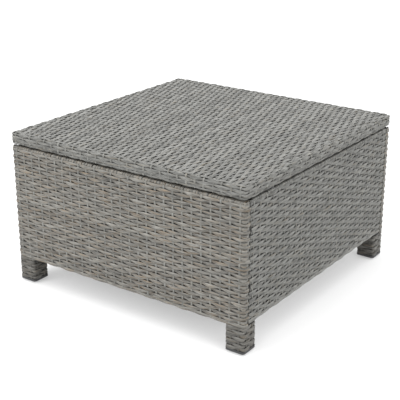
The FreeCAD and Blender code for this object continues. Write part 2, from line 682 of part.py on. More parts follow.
for panel_end, panel_sign in (("front", -1), ("back", 1)):
    panel_frame(panel_end, panel_sign)
    panel_weave(panel_end, turn_round=panel_sign > 0)
for panel_side, panel_sign in (("right", 1), ("left", -1)):
    side_frame(panel_side, panel_sign)
    side_weave(panel_side, turn_round=panel_sign < 0)
top_frame()
top_weave()
for corner_name, corner_signs in CORNERS.items():
    leg_core(corner_name, *corner_signs)
    leg_weave(corner_name, *corner_signs)
    leg_cap(corner_name, *corner_signs)
fasteners()
foot_hardware()
write_parts()
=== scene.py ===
"""Finished looks of a low square garden table in woven resin strand, built round its frame.

The steel frames, fasteners, caps and feet keep their own meshes and get their finishes here. The woven
layers are laid strand by strand: weavers go over and under stakes, wrap the corners of the panels and
legs, and fold round the edge of the top. Lengths are in metres and angles in radians, unless a name says
otherwise. +X is right, +Y is back and +Z is up.
"""

import json
import logging
import math
from collections.abc import Callable
from dataclasses import dataclass, field
from enum import Enum

import bmesh
import bpy
import numpy as np
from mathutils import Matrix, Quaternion, Vector

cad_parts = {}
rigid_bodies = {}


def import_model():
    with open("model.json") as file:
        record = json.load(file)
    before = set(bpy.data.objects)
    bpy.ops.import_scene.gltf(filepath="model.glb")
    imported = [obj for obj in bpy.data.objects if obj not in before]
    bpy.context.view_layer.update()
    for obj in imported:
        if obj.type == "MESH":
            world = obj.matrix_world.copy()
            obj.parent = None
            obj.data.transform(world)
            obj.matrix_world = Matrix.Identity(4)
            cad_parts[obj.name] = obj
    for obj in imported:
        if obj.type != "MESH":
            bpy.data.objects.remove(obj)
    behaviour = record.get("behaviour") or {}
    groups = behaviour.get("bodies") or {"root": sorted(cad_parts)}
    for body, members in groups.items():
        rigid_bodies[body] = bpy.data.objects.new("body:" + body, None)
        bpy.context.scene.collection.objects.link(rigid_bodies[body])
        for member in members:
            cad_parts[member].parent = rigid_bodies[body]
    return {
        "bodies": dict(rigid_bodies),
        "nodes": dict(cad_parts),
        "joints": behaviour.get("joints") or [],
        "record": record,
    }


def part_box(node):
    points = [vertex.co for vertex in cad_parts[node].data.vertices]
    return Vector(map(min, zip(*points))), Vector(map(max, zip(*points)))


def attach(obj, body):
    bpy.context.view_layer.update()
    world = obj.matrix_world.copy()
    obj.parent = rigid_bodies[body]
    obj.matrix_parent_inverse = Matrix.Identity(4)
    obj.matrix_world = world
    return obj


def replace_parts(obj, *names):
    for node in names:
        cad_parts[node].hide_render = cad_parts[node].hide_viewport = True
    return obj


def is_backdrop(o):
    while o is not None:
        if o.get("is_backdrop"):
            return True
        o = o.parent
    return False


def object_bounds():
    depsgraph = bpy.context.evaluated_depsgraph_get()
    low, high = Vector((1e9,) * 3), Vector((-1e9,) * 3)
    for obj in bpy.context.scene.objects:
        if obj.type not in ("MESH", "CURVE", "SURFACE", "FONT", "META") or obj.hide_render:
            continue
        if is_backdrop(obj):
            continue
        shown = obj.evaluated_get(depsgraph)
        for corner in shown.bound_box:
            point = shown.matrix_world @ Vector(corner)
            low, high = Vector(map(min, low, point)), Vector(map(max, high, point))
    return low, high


LOG = logging.getLogger("coffee_table")
MM = 0.001
QUARTER = math.pi / 2
STRAND_MARK = "strand"
TABLE_BODY = "table"
WICKER_SLOT = "wicker"
TINY = 1e-7
LEG_SEED = 61
SHEET_SEED = 83
RIM_SEED = 97
SPACER_RADIUS = 6.0 * MM

Bend = Callable[[np.ndarray, np.ndarray], np.ndarray]


class Facing(Enum):
    """The way an upright woven side faces, as its turn from the front about the table's upright axis."""

    FRONT = 0
    RIGHT = 1
    BACK = 2
    LEFT = 3

    @property
    def turn(self) -> np.ndarray:
        """The turn as a flat rotation matrix."""
        cosine = (1, 0, -1, 0)[self.value]
        sine = (0, 1, 0, -1)[self.value]
        return np.array(((cosine, -sine), (sine, cosine)), dtype=float)


class Tone(Enum):
    """Copies of the one strand's colours, one for each place. The stake copy is lighter, a painted highlight.
    The leg copy is darker, painted shade. The lining copy is near black, painted shade inside the table. The
    warm copy of the front and back, which is also tanner, and the top's copy are a little lighter than the
    sides' cool copy: painted light on the faces that get more of it.
    """

    WARM = "warm"
    COOL = "cool"
    TOP = "top"
    STAKE = "stake"
    SHADED_LEG = "leg"
    SHADE_LINING = "lining"


def smooth_step(value: np.ndarray, low: float, high: float) -> np.ndarray:
    """Eases from 0 at one value to 1 at another.

    Args:
        value: Numbers to ease.
        low: Where the result is still 0.
        high: Where the result reaches 1.

    Returns:
        The eased numbers.
    """
    part = np.clip((value - low) / (high - low), 0.0, 1.0)
    return part * part * (3.0 - 2.0 * part)


# ---- Paths and surfaces ----------------------------------------------------------------------

class Track:
    """A flat path of straight runs and arcs. Its outer side is to the right of its heading."""

    def __init__(self, start: tuple[float, float], heading: float, runs: list[tuple[float, float]],
                 closed: bool = False) -> None:
        """Works out where each run starts.

        Args:
            start: First point of the path.
            heading: Direction of the first run, as an angle.
            runs: Length and left turn of each run.
            closed: Whether the path's end meets its start.
        """
        self.runs = runs
        self.closed = closed
        lengths = np.array([length for length, _ in runs])
        self.knots = np.concatenate(((0.0,), np.cumsum(lengths)))
        self.length = float(self.knots[-1])
        self.curves = np.array([turn / length for length, turn in runs])
        self.headings = heading + np.concatenate(((0.0,), np.cumsum([turn for _, turn in runs])[:-1]))
        points = [np.array(start, dtype=float)]
        for number, (length, turn) in enumerate(runs[:-1]):
            chord = length * np.sinc(turn / 2 / np.pi)
            angle = self.headings[number] + turn / 2
            points.append(points[-1] + chord * np.array((math.cos(angle), math.sin(angle))))
        self.starts = np.array(points)

    def at(self, along: np.ndarray) -> tuple[np.ndarray, np.ndarray]:
        """Reads the path.

        Args:
            along: Distances from the start. Past an open end the path goes on in its own curve.

        Returns:
            The points, and the outward directions there.
        """
        if self.closed:
            along = np.mod(along, self.length)
        run = np.clip(np.searchsorted(self.knots, along, side="right") - 1, 0, len(self.runs) - 1)
        past = along - self.knots[run]
        half = self.curves[run] * past / 2
        chord = past * np.sinc(half / np.pi)
        aim = self.headings[run] + half
        points = self.starts[run] + chord[:, None] * np.column_stack((np.cos(aim), np.sin(aim)))
        heading = aim + half
        return points, np.column_stack((np.sin(heading), -np.cos(heading)))

    def stations(self, low: float, high: float, step: float, bend_step: float) -> np.ndarray:
        """Distances at which a strand gets its cross lines, closer together round the arcs.

        Args:
            low: Where the strand starts.
            high: Where it ends.
            step: Longest spacing on a straight run.
            bend_step: Largest turn between two lines on an arc.

        Returns:
            Rising distances from low to high.
        """
        laps = (0, 1) if self.closed else (0,)
        marks = [low]
        for lap in laps:
            for number, (length, turn) in enumerate(self.runs):
                start = max(low, self.knots[number] + lap * self.length)
                end = min(high, self.knots[number + 1] + lap * self.length)
                if end - start < TINY:
                    continue
                share = (end - start) / length
                count = max(1, math.ceil((end - start) / step), math.ceil(abs(turn) * share / bend_step))
                marks.extend(np.linspace(start, end, count + 1)[1:])
        if high - marks[-1] > TINY:
            marks.append(high)
        return np.array(marks)


def bend(radius: float, quarters: int = 1) -> tuple[float, float]:
    """A left-hand arc of so many quarter turns, as a run of a track."""
    return radius * QUARTER * quarters, QUARTER * quarters


@dataclass(frozen=True)
class Surface:
    """The middle of a woven layer: an outline seen from above, carried along an upright profile.

    The profile's points are (outward from the outline, height), and its outer side is the layer's.
    """

    plan: Track
    profile: Track
    outset: float = 0.0

    def at(self, along: np.ndarray, up: np.ndarray, height: np.ndarray) -> np.ndarray:
        """Reads the surface.

        Args:
            along: Distances along the outline.
            up: Distances along the profile.
            height: Heights above the middle of the layer.

        Returns:
            The points, one row each.
        """
        base, outward = self.plan.at(along)
        place, normal = self.profile.at(up)
        out = place[:, 0] - self.outset + height * normal[:, 0]
        return np.column_stack((base + outward * out[:, None], place[:, 1] + height * normal[:, 1]))


class Wobble:
    """A gentle unevenness along a strand, as hand weaving has."""

    WAVE_SPREAD = (0.6, 1.7)
    WAVE_COUNT = 3
    USUAL_PEAK = 2.2

    def __init__(self, rng: np.random.Generator, size: float, wave: float) -> None:
        """Draws the waves.

        Args:
            rng: Source of the draws.
            size: Largest departure, about.
            wave: Typical wave length.
        """
        self.size = size
        self.waves = wave * rng.uniform(*self.WAVE_SPREAD, self.WAVE_COUNT)
        self.phases = rng.uniform(0.0, 2 * math.pi, self.WAVE_COUNT)

    def at(self, along: np.ndarray) -> np.ndarray:
        """The departure at distances along the strand."""
        turns = 2 * math.pi * along[:, None] / self.waves + self.phases
        return self.size * np.sin(turns).sum(axis=1) / self.USUAL_PEAK


# ---- Strands ---------------------------------------------------------------------------------

@dataclass(frozen=True)
class StrandCut:
    """Section of a flat strand, and how finely it is divided."""

    width: float
    thick: float
    crown: float
    columns: int
    step: float
    mark_step: float
    bend_step: float = math.radians(18)


WEAVER = StrandCut(width=9.0 * MM, thick=1.1 * MM, crown=1.15 * MM, columns=4, step=3.4 * MM,
                    mark_step=0.617)
STAKE = StrandCut(width=5.2 * MM, thick=0.9 * MM, crown=0.6 * MM, columns=2, step=3.0 * MM,
                   mark_step=0.717)
STRAP = StrandCut(width=27.6 * MM, thick=0.8 * MM, crown=0.0, columns=1, step=30.0 * MM,
                   mark_step=0.417)
BINDER = StrandCut(width=7.4 * MM, thick=1.0 * MM, crown=0.5 * MM, columns=2, step=6.0 * MM,
                    mark_step=0.517, bend_step=math.radians(34))


class StrandSet:
    """Flat strands that are laid one by one and thickened together into one piece."""

    SHARP_FROM = math.radians(48)

    def __init__(self, name: str, cut: StrandCut, first_mark: float,
                 facing: Facing = Facing.FRONT) -> None:
        """Starts an empty set.

        Args:
            name: Name of the piece.
            cut: Section of its strands.
            first_mark: Mark of strand number 0, which sets its tint.
            facing: Turn given to the whole set.
        """
        self.name = name
        self.cut = cut
        self.first_mark = first_mark
        self.facing = facing
        self.strips = bmesh.new()
        self.laid: list[tuple[np.ndarray, Bend, float]] = []

    def lay(self, stations: np.ndarray, bend_strip: Bend, number: int) -> None:
        """Adds one strand.

        Args:
            stations: Distances along it at which it has a cross line.
            bend_strip: Gives points from distances along it and places across it, -0.5 to 0.5.
            number: Its number in the set, which tells its tint from its neighbours'.
        """
        bmesh.ops.create_grid(
            self.strips, x_segments=len(stations) - 1, y_segments=self.cut.columns, size=0.5
        )
        self.laid.append((stations, bend_strip, self.first_mark + number * self.cut.mark_step))

    def piece(self, material: bpy.types.Material) -> bpy.types.Object:
        """Bends and thickens the strands.

        Args:
            material: Finish of the piece.

        Returns:
            The piece, riding on the table.
        """
        mesh = bpy.data.meshes.new(self.name)
        self.strips.to_mesh(mesh)
        self.strips.free()
        flat = np.empty(len(mesh.vertices) * 3, dtype=np.float32)
        mesh.vertices.foreach_get("co", flat)
        flat = flat.reshape(-1, 3).astype(float)
        marks = np.empty_like(flat)
        first = 0
        for stations, bend_strip, mark in self.laid:
            last = first + len(stations) * (self.cut.columns + 1)
            block = flat[first:last]
            line = np.rint((block[:, 0] + 0.5) * (len(stations) - 1)).astype(int)
            along, across = stations[line], block[:, 1].copy()
            marks[first:last] = np.column_stack((along, across, np.full(last - first, mark)))
            flat[first:last] = bend_strip(along, across)
            first = last
        flat[:, :2] = flat[:, :2] @ self.facing.turn.T
        mesh.vertices.foreach_set("co", flat.astype(np.float32).ravel())
        attribute = mesh.attributes.new(STRAND_MARK, "FLOAT_VECTOR", "POINT")
        attribute.data.foreach_set("vector", marks.astype(np.float32).ravel())
        self.thicken(mesh)
        mesh.materials.append(material)
        made = bpy.data.objects.new(self.name, mesh)
        bpy.context.scene.collection.objects.link(made)
        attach(made, TABLE_BODY)
        LOG.info("%s: %d strands, %d faces", self.name, len(self.laid), len(mesh.polygons))
        return made

    def thicken(self, mesh: bpy.types.Mesh) -> None:
        """Gives the bent strips their thickness, and smooths all but their edges.

        Args:
            mesh: The bent strips, which become closed strands.
        """
        solid = bmesh.new()
        solid.from_mesh(mesh)
        bmesh.ops.solidify(solid, geom=solid.faces[:], thickness=self.cut.thick)
        solid.to_mesh(mesh)
        solid.free()
        mesh.polygons.foreach_set("use_smooth", np.ones(len(mesh.polygons), dtype=bool))
        mesh.set_sharp_from_angle(angle=self.SHARP_FROM)


@dataclass(frozen=True)
class WeaveHand:
    """How tight and how even the weaving is."""

    rise: float = 1.25 * MM
    stake_give: float = 0.35 * MM
    pinch: float = 0.42
    pinch_reach: float = 1.5
    flatten: float = 0.3
    drift: float = 0.5 * MM
    lift: float = 0.2 * MM
    twist: float = math.radians(6.0)
    calm: float = 0.3
    held_share: float = 0.5
    held_reach: float = 7.0 * MM
    row_scatter: float = 0.12 * MM
    stake_scatter: float = 0.3 * MM
    width_spread: tuple[float, float] = (0.95, 1.03)
    drift_wave: float = 95.0 * MM
    lift_wave: float = 60.0 * MM
    twist_wave: float = 70.0 * MM
    stake_drift_wave: float = 130.0 * MM
    stake_lift_share: float = 0.6
    calm_from: float = 0.3
    calm_to: float = 0.9


@dataclass
class WovenField:
    """Weavers and stakes over one surface, over one and under one.

    Weavers run along the outline at places on the profile, and stakes run along the profile at places
    on the outline.
    """

    surface: Surface
    rows: np.ndarray
    stakes: np.ndarray
    rng: np.random.Generator
    hand: WeaveHand = field(default_factory=WeaveHand)
    open_ends: bool = True
    width_share: float = 1.0
    held: tuple[float, ...] = ()

    def crossing(self, along: np.ndarray, row: int) -> np.ndarray:
        """How far a weaver is over (1) or under (-1).

        Args:
            along: Distances along the weaver.
            row: Its number, which sets where it is over.

        Returns:
            The height at each distance, as a share of the full rise.
        """
        pitch = float(np.mean(np.diff(self.stakes)))
        count = len(self.stakes)
        before = (along - self.stakes[0]) / pitch
        after = count - 1 + (along - self.stakes[-1]) / pitch
        inside = np.interp(along, self.stakes, np.arange(count))
        place = np.where(along < self.stakes[0], before, np.where(along > self.stakes[-1], after, inside))
        wave = np.cos(math.pi * (place + row))
        wave *= 1.25 - 0.25 * wave * wave
        for spot in self.held:
            wave *= 1.0 - self.hand.held_share * np.exp(-(((along - spot) / self.hand.held_reach) ** 2))
        if self.open_ends:
            past = np.maximum(-before, after - (count - 1))
            end = smooth_step(past, self.hand.calm_from, self.hand.calm_to)
            wave *= 1.0 - (1.0 - self.hand.calm) * end
        return wave

    def weaver(self, row: int, surface: Surface | None = None, dive: Bend | None = None,
               play: float = 1.0) -> Bend:
        """How one weaver bends.

        Args:
            row: Its number, which sets where it is over.
            surface: Surface of its own, if it has one.
            dive: Extra height from distances along and across, where it is tucked away.
            play: Share of the usual rise and pinch, less along a held edge.

        Returns:
            Points from distances along the weaver and places across it.
        """
        own = surface or self.surface
        hand = self.hand
        drift = Wobble(self.rng, hand.drift, hand.drift_wave)
        lift = Wobble(self.rng, hand.lift, hand.lift_wave)
        twist = Wobble(self.rng, hand.twist, hand.twist_wave)
        middle = self.rows[row] + self.rng.normal(0.0, hand.row_scatter)
        width = WEAVER.width * self.width_share * self.rng.uniform(*hand.width_spread)

        def bend_strip(along: np.ndarray, across: np.ndarray) -> np.ndarray:
            """Points of the weaver, drawn in where it passes under."""
            over = self.crossing(along, row)
            under = np.clip((1.0 - over) / 2.0, 0.0, 1.0)
            side = across * width * (1.0 - play * hand.pinch * under**hand.pinch_reach)
            crown = WEAVER.crown * (1.0 - 4.0 * across**2) * (1.0 - hand.flatten * under)
            height = play * hand.rise * over + WEAVER.thick / 2 + crown + lift.at(along)
            height = height + side * np.sin(twist.at(along))
            if dive is not None:
                height = height + dive(along, across)
            return own.at(along, middle + side + drift.at(along), height)

        return bend_strip

    def stake(self, number: int, dive: Bend | None = None, lean: float = 0.0) -> Bend:
        """How one stake bends.

        Args:
            number: Its number, which sets where the weavers cross over it.
            dive: Extra height from distances along and across, where it is tucked away.
            lean: Sideways travel for each unit of its length.

        Returns:
            Points from distances along the stake and places across it.
        """
        hand = self.hand
        drift = Wobble(self.rng, hand.drift, hand.stake_drift_wave)
        lift = Wobble(self.rng, hand.stake_lift_share * hand.lift, hand.lift_wave)
        middle = self.stakes[number] + self.rng.normal(0.0, hand.stake_scatter)
        pitch = float(np.mean(np.diff(self.rows)))

        def bend_strip(along: np.ndarray, across: np.ndarray) -> np.ndarray:
            """Points of the stake, which gives a little under each weaver."""
            place = (along - self.rows[0]) / pitch
            under = np.cos(math.pi * (place + number))
            crown = STAKE.crown * (1.0 - 4.0 * across**2)
            height = STAKE.thick / 2 + crown + lift.at(along) - hand.stake_give * under
            if dive is not None:
                height = height + dive(along, across)
            side = middle + drift.at(along) + lean * along - across * STAKE.width
            return self.surface.at(side, along, height)

        return bend_strip


# ---- Finishes --------------------------------------------------------------------------------

class NodeChain:
    """Builds one procedural material node by node."""

    def __init__(self, name: str) -> None:
        """Starts a material with a plain shader.

        Args:
            name: Name of the material.
        """
        self.material = bpy.data.materials.new(name)
        self.material.use_nodes = True
        self.tree = self.material.node_tree
        self.shader = self.tree.nodes["Principled BSDF"]

    def add(self, kind: str, inputs: dict[int | str, object] | None = None,
            **settings: object) -> bpy.types.Node:
        """Adds a node.

        Args:
            kind: Blender's name of the node type.
            inputs: Values or sockets for its inputs.
            settings: Its own settings.

        Returns:
            The node.
        """
        node = self.tree.nodes.new(kind)
        for key, setting in settings.items():
            setattr(node, key, setting)
        for key, source in (inputs or {}).items():
            self.join(source, node.inputs[key])
        return node

    def join(self, source: object, socket: bpy.types.NodeSocket) -> None:
        """Links a socket to an input, or sets the input's value.

        Args:
            source: Socket or value.
            socket: Input that takes it.
        """
        if isinstance(source, bpy.types.NodeSocket):
            self.tree.links.new(source, socket)
        else:
            socket.default_value = source

    def calculate(self, operation: str, *values: object) -> bpy.types.NodeSocket:
        """A number worked out from others."""
        return self.add("ShaderNodeMath", dict(enumerate(values)), operation=operation).outputs[0]

    def vector(self, x: object, y: object, z: object) -> bpy.types.NodeSocket:
        """A vector from three numbers."""
        return self.add("ShaderNodeCombineXYZ", {0: x, 1: y, 2: z}).outputs[0]

    def noise(self, vector: bpy.types.NodeSocket, scale: float, detail: float,
              roughness: float = 0.5) -> bpy.types.NodeSocket:
        """Soft noise from 0 to 1.

        Args:
            vector: Place that it is read at.
            scale: Its fineness.
            detail: Layers of finer noise.
            roughness: Strength of each finer layer.

        Returns:
            The noise.
        """
        node = self.add("ShaderNodeTexNoise", {"Vector": vector, "Scale": scale, "Detail": detail,
                                               "Roughness": roughness})
        return node.outputs["Fac"]

    def spread(self, value: object, low: float, high: float, to_low: float = 0.0,
               to_high: float = 1.0) -> bpy.types.NodeSocket:
        """A number carried from one range to another, kept inside it.

        Args:
            value: The number.
            low: Lower end of its own range.
            high: Upper end of its own range.
            to_low: Lower end of the new range.
            to_high: Upper end of the new range.

        Returns:
            The new number.
        """
        node = self.add("ShaderNodeMapRange", {"Value": value, "From Min": low, "From Max": high,
                                               "To Min": to_low, "To Max": to_high})
        return node.outputs[0]

    def blend(self, factor: object, first: object, second: object,
              mode: str = "MIX") -> bpy.types.NodeSocket:
        """Two colours blended.

        Args:
            factor: Share of the second colour.
            first: First colour.
            second: Second colour.
            mode: Blender's name of the way they are blended.

        Returns:
            The blended colour.
        """
        node = self.add("ShaderNodeMix", data_type="RGBA", blend_type=mode)
        self.join(factor, node.inputs[0])
        self.join(first, node.inputs[6])
        self.join(second, node.inputs[7])
        return node.outputs[2]

    def bump(self, height: object, distance: float, strength: float = 1.0,
             normal: object = None) -> bpy.types.NodeSocket:
        """A normal roughened by a height.

        Args:
            height: Height of the relief, from 0 to 1.
            distance: Real height that 1 stands for.
            strength: Share of the relief that shows.
            normal: Normal that it is added to.

        Returns:
            The normal.
        """
        node = self.add("ShaderNodeBump", {"Height": height, "Distance": distance, "Strength": strength})
        if normal is not None:
            self.join(normal, node.inputs["Normal"])
        return node.outputs[0]

    def shade(self, **inputs: object) -> bpy.types.Material:
        """Sets the shader's inputs.

        Args:
            inputs: Values or sockets, named with underlines for spaces.

        Returns:
            The material.
        """
        for key, source in inputs.items():
            self.join(source, self.shader.inputs[key.replace("_", " ")])
        return self.material


@dataclass(frozen=True)
class WickerFinish:
    """Flat resin strand: ribbed along its length, streaked in greys with a little tan."""

    name: str
    dark: tuple[float, float, float]
    light: tuple[float, float, float]
    tan: tuple[float, float, float]
    tan_share: float
    strand_tint: float = 0.05
    ribs: int = 7

    def material(self) -> bpy.types.Material:
        """Builds the finish."""
        chain = NodeChain(self.name)
        mark = chain.add("ShaderNodeAttribute", attribute_name=STRAND_MARK).outputs["Vector"]
        parts = chain.add("ShaderNodeSeparateXYZ", {0: mark}).outputs
        along, across, strand = parts[0], parts[1], parts[2]
        apart = chain.calculate("MULTIPLY", strand, 37.7)

        def streaks(per_metre: float, per_width: float, detail: float) -> bpy.types.NodeSocket:
            """Noise drawn out along the strand."""
            place = chain.vector(chain.calculate("MULTIPLY", along, per_metre),
                                 chain.calculate("MULTIPLY", across, per_width), apart)
            return chain.noise(place, 1.0, detail, 0.6)

        patches = streaks(34.0, 2.2, 3.0)
        fibres = streaks(75.0, 9.0, 3.0)
        fine = streaks(260.0, 26.0, 2.0)
        tint = chain.add("ShaderNodeTexWhiteNoise", {"W": strand}, noise_dimensions="1D").outputs["Value"]
        level = chain.calculate("ADD", chain.calculate("MULTIPLY", patches, 0.5),
                                chain.calculate("MULTIPLY", fibres, 0.5))
        own_tint = chain.spread(tint, 0.0, 1.0, -self.strand_tint, self.strand_tint)
        level = chain.calculate("ADD", level, own_tint)
        grey = chain.blend(chain.spread(level, 0.36, 0.64), (*self.dark, 1.0), (*self.light, 1.0))
        warm = chain.spread(streaks(22.0, 3.5, 2.0), 0.62 - 0.2 * self.tan_share, 0.74)
        colour = chain.blend(warm, grey, (*self.tan, 1.0))
        colour = chain.blend(1.0, colour, chain.blend(fine, (0.82, 0.82, 0.82, 1.0), (1.16, 1.16, 1.16, 1.0)),
                             "MULTIPLY")
        ribs = chain.calculate("SINE", chain.calculate("MULTIPLY", across, 2 * math.pi * self.ribs))
        relief = chain.calculate("ADD", chain.calculate("MULTIPLY", ribs, 0.35), fine)
        rough = chain.spread(fibres, 0.2, 0.8, 0.36, 0.54)
        return chain.shade(Base_Color=colour, Roughness=rough, Normal=chain.bump(relief, 0.12 * MM),
                           Specular_IOR_Level=0.35)


@dataclass(frozen=True)
class PowderCoat:
    """Dark powder coat on steel tube, with a fine orange peel."""

    name: str = "powder_coat"
    colour: tuple[float, float, float] = (0.036, 0.035, 0.033)

    def material(self) -> bpy.types.Material:
        """Builds the finish."""
        chain = NodeChain(self.name)
        place = chain.add("ShaderNodeTexCoord").outputs["Object"]
        peel = chain.noise(place, 900.0, 2.0)
        cloud = chain.noise(place, 14.0, 3.0)
        dust = chain.blend(chain.spread(cloud, 0.45, 0.75, 0.0, 0.35), (*self.colour, 1.0),
                           (0.075, 0.072, 0.067, 1.0))
        return chain.shade(Base_Color=dust, Roughness=chain.spread(cloud, 0.3, 0.7, 0.42, 0.58),
                           Normal=chain.bump(peel, 0.06 * MM, 0.6))


@dataclass(frozen=True)
class ZincPlate:
    """Zinc-plated steel, dulled unevenly."""

    name: str = "zinc_plate"
    colour: tuple[float, float, float] = (0.62, 0.62, 0.6)

    def material(self) -> bpy.types.Material:
        """Builds the finish."""
        chain = NodeChain(self.name)
        place = chain.add("ShaderNodeTexCoord").outputs["Object"]
        cloud = chain.noise(place, 160.0, 4.0)
        tint = chain.blend(chain.spread(cloud, 0.35, 0.7), (*self.colour, 1.0), (0.42, 0.43, 0.44, 1.0))
        grain = chain.noise(place, 2600.0, 2.0)
        return chain.shade(Base_Color=tint, Metallic=1.0, Roughness=chain.spread(cloud, 0.3, 0.7, 0.28, 0.5),
                           Normal=chain.bump(grain, 0.02 * MM, 0.5))


@dataclass(frozen=True)
class MouldedPlastic:
    """Black moulded plastic with a fine spark-eroded grain."""

    name: str
    colour: tuple[float, float, float] = (0.018, 0.018, 0.019)
    scuff: float = 0.2

    def material(self) -> bpy.types.Material:
        """Builds the finish."""
        chain = NodeChain(self.name)
        place = chain.add("ShaderNodeTexCoord").outputs["Object"]
        grain = chain.noise(place, 1500.0, 2.0)
        rub = chain.noise(place, 60.0, 4.0, 0.65)
        tint = chain.blend(chain.spread(rub, 0.52, 0.8, 0.0, self.scuff), (*self.colour, 1.0),
                           (0.09, 0.088, 0.084, 1.0))
        return chain.shade(Base_Color=tint, Roughness=chain.spread(rub, 0.3, 0.75, 0.4, 0.62),
                           Normal=chain.bump(grain, 0.05 * MM, 0.6))


@dataclass(frozen=True)
class StudioFloor:
    """Matt white studio floor, lit a little from below."""

    name: str = "studio_floor"
    colour: tuple[float, float, float] = (0.45, 0.45, 0.45)
    glow: float = 0.36

    def material(self) -> bpy.types.Material:
        """Builds the finish."""
        chain = NodeChain(self.name)
        place = chain.add("ShaderNodeTexCoord").outputs["Object"]
        grain = chain.noise(place, 40.0, 2.0)
        rough = chain.spread(grain, 0.0, 1.0, 0.85, 0.95)
        return chain.shade(Base_Color=(*self.colour, 1.0), Roughness=rough, Specular_IOR_Level=0.1,
                           Emission_Color=(1.0, 1.0, 1.0, 1.0), Emission_Strength=self.glow)


WICKER_TONES = {
    # The warm, cool and top copies are one strand. Their lightness differs face by face as painted light: the
    # front, back and top copies are lighter than the sides'.
    Tone.WARM: WickerFinish("wicker_warm", dark=(0.023, 0.022, 0.019), light=(0.178, 0.172, 0.155),
                            tan=(0.151, 0.111, 0.069), tan_share=0.5),
    Tone.COOL: WickerFinish("wicker_cool", dark=(0.022, 0.022, 0.02), light=(0.162, 0.162, 0.151),
                            tan=(0.126, 0.109, 0.081), tan_share=0.2),
    Tone.TOP: WickerFinish("wicker_top", dark=(0.024, 0.024, 0.021), light=(0.173, 0.173, 0.162),
                           tan=(0.135, 0.117, 0.087), tan_share=0.2),
    # The stake copy is lighter than the weavers' copies so that the stakes read bright: a painted highlight.
    Tone.STAKE: WickerFinish("wicker_stake_painted_highlight", dark=(0.031, 0.031, 0.028), light=(0.2, 0.2, 0.186),
                             tan=(0.155, 0.135, 0.099), tan_share=0.3, strand_tint=0.015),
    # The leg copy is darker than the panels' copies: painted shade.
    Tone.SHADED_LEG: WickerFinish("wicker_leg_painted_shade", dark=(0.016, 0.015, 0.013), light=(0.118, 0.114, 0.103),
                           tan=(0.096, 0.075, 0.048), tan_share=0.35),
    # The lining copy is near black: painted shade inside the table, on the straps behind the weave.
    Tone.SHADE_LINING: WickerFinish("wicker_lining_painted_shade", dark=(0.012, 0.012, 0.011), light=(0.03, 0.029, 0.027),
                              tan=(0.03, 0.025, 0.02), tan_share=0.2),
}


@dataclass
class Finishes:
    """Every finish of the table, built once."""

    wicker: dict[Tone, bpy.types.Material] = field(default_factory=dict)
    slots: dict[str, bpy.types.Material] = field(default_factory=dict)

    def build(self) -> "Finishes":
        """Makes the materials.

        Returns:
            These finishes.
        """
        self.wicker = {tone: tone_look.material() for tone, tone_look in WICKER_TONES.items()}
        self.slots = {
            WICKER_SLOT: self.wicker[Tone.COOL],
            "frame_steel": PowderCoat().material(),
            "fastener_zinc": ZincPlate().material(),
            "cap_plastic": MouldedPlastic("cap_plastic").material(),
            "foot_plastic": MouldedPlastic("foot_plastic", scuff=0.5).material(),
            "spacer_plastic": MouldedPlastic("spacer_plastic", colour=(0.014, 0.014, 0.014)).material(),
        }
        return self

    def dress(self, frame: dict) -> None:
        """Gives each node of the frame the finish of its slot.

        Args:
            frame: The loaded frame.
        """
        for part in frame["record"]["subparts"]:
            data = frame["nodes"][part["node"]].data
            data.materials.clear()
            data.materials.append(self.slots[part["material_slot"]])


# ---- Panels ----------------------------------------------------------------------------------

@dataclass(frozen=True)
class BindingHand:
    """How the binding is wound over a panel's upper edge."""

    pitch: float = 8.5 * MM
    lean: float = 0.42
    lean_scatter: float = 0.07
    scatter: float = 0.35 * MM
    lift: float = 0.45 * MM
    lift_scatter: float = 0.15 * MM
    overrun: float = 2.5 * MM
    end_gap: float = 2.0 * MM
    tuck_depth: float = 1.5 * MM
    tuck_run: float = 3.2 * MM


